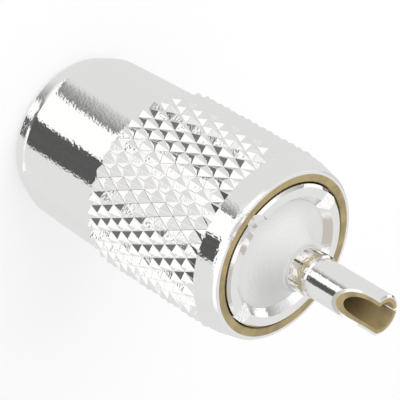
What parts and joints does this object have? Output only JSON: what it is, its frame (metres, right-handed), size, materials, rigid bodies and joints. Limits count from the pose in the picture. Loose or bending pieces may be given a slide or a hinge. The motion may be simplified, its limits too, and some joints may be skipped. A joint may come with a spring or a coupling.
{
  "type": "uhf connector",
  "caption": "Male coaxial cable plug: hollow centre pin in a white insulator, notched contact rim, and a long diamond-knurled coupling ring that turns on the body.",
  "frame": {"origin": "centre of the cable end that the plug stands on", "axes": "+Z along the plug's axis, from the cable end to the tip of the centre pin; -Y is the side that the picture looks on"},
  "size_m": [0.0188, 0.0188, 0.0419],
  "materials": {
    "silver_plate": "bright silver plate on turned brass",
    "ring_plate": "bright silver plate on turned and knurled brass, bare brass inside the mouth",
    "pin_plate": "bright silver plate outside, bare brass in the bore",
    "white_dielectric": "smooth white fluoropolymer"
  },
  "bodies": {
    "body": {"plug_body": "silver_plate", "insulator": "white_dielectric", "center_pin": "pin_plate"},
    "ring": {"coupling_ring": "ring_plate"}
  },
  "joints": [
    {"name": "ring_turn", "type": "hinge", "parent": "body", "child": "ring", "pos_m": [0, 0, 0.003], "axis": [0, 0, 1], "continuous": true}
  ]
}
